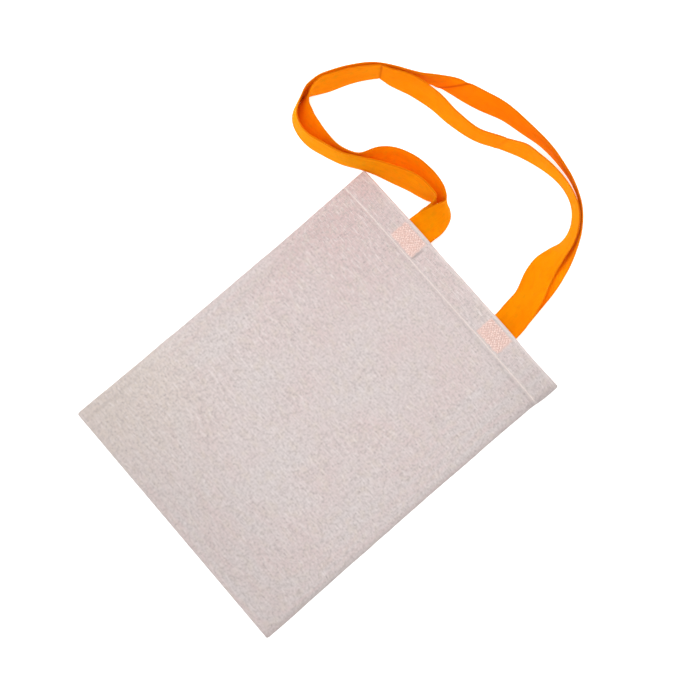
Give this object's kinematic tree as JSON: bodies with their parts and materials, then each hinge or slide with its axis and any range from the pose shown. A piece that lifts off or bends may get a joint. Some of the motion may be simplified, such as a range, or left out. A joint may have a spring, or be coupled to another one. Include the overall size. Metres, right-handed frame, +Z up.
{
  "type": "tote bag",
  "caption": "Flat cotton canvas tote bag with a hemmed open mouth and two loose shoulder straps, lying on its back.",
  "frame": {"origin": "middle of the back panel's outer face, on the surface that the bag lies on", "axes": "+X along the mouth from left to right as seen in the picture with the mouth away, +Y from the base to the mouth, +Z up from the surface"},
  "size_m": [0.3111, 0.4225, 0.0268],
  "materials": {
    "canvas_front": "matt heathered cotton canvas",
    "canvas_back": "matt heathered cotton canvas",
    "strap_front": "matt woven cotton strap",
    "strap_back": "matt woven cotton strap"
  },
  "bodies": {
    "root": {"front_panel": "canvas_front", "back_panel": "canvas_back", "handle_front": "strap_front", "handle_back": "strap_back"}
  },
  "joints": []
}
